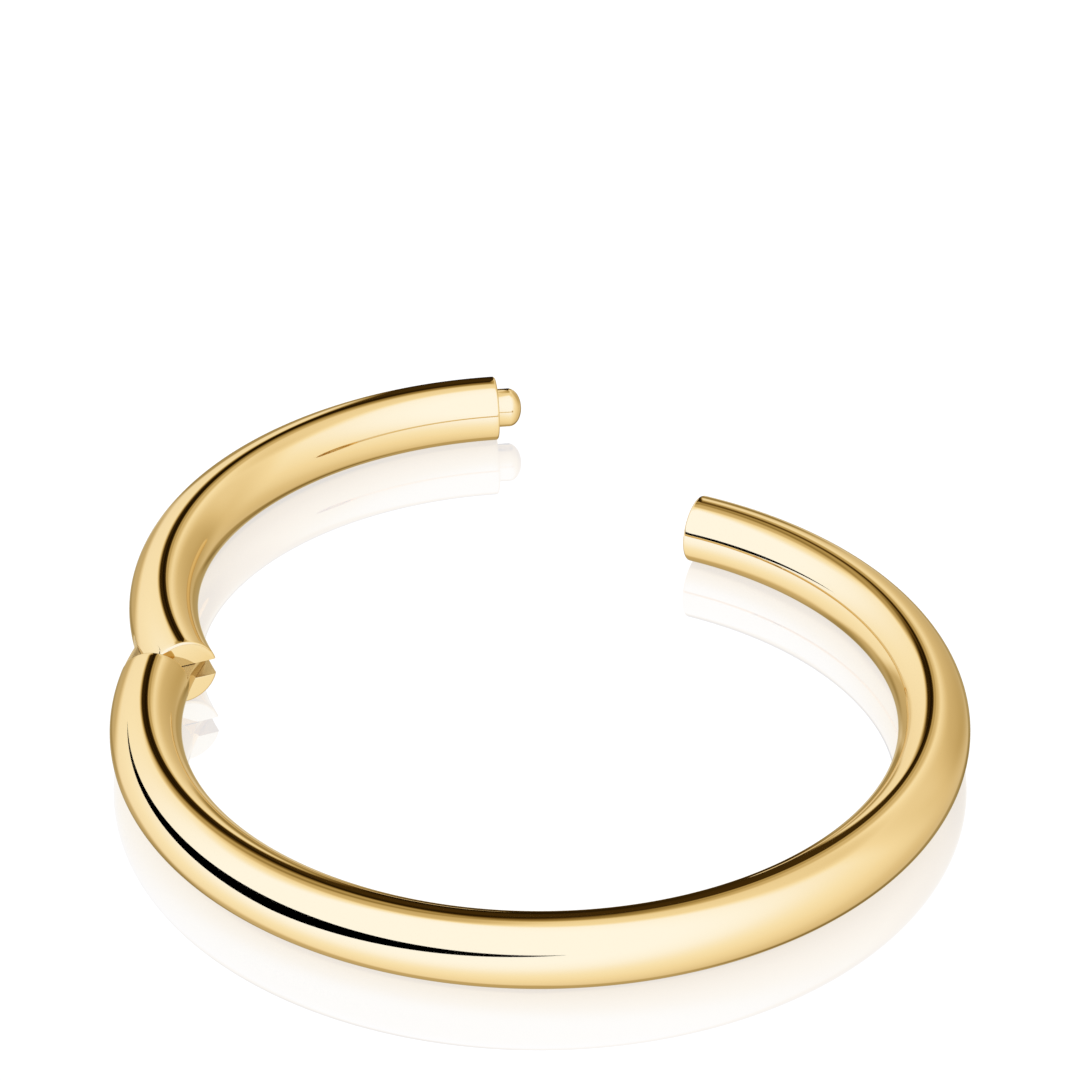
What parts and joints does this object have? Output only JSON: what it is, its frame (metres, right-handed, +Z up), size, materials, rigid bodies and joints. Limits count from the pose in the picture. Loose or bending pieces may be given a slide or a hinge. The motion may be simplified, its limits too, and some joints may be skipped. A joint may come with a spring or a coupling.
{
  "type": "hinged segment nose ring",
  "caption": "Round gold-coloured wire ring with a hinged segment that swings out and a small peg that clicks into the ring's free end.",
  "frame": {"origin": "centre of the ring's circle, on the surface that the ring lies on", "axes": "+Z up out of the ring's plane; +X and +Y in that plane, with the hinge towards -X and the open segment towards +Y"},
  "size_m": [0.012, 0.0151, 0.001],
  "materials": {
    "gold_wire": "mirror polished, pale yellow gold colour",
    "gold_pin": "polished flush, pale yellow gold colour"
  },
  "bodies": {
    "ring_body": {"ring_body": "gold_wire"},
    "segment": {"segment": "gold_wire", "hinge_pin": "gold_pin"}
  },
  "joints": [
    {"name": "segment_hinge", "type": "hinge", "parent": "ring_body", "child": "segment", "pos_m": [-0.00554, 0.0016, 0.0005], "axis": [0, 0, 1], "range_deg": [-31.9, 58.1]}
  ]
}
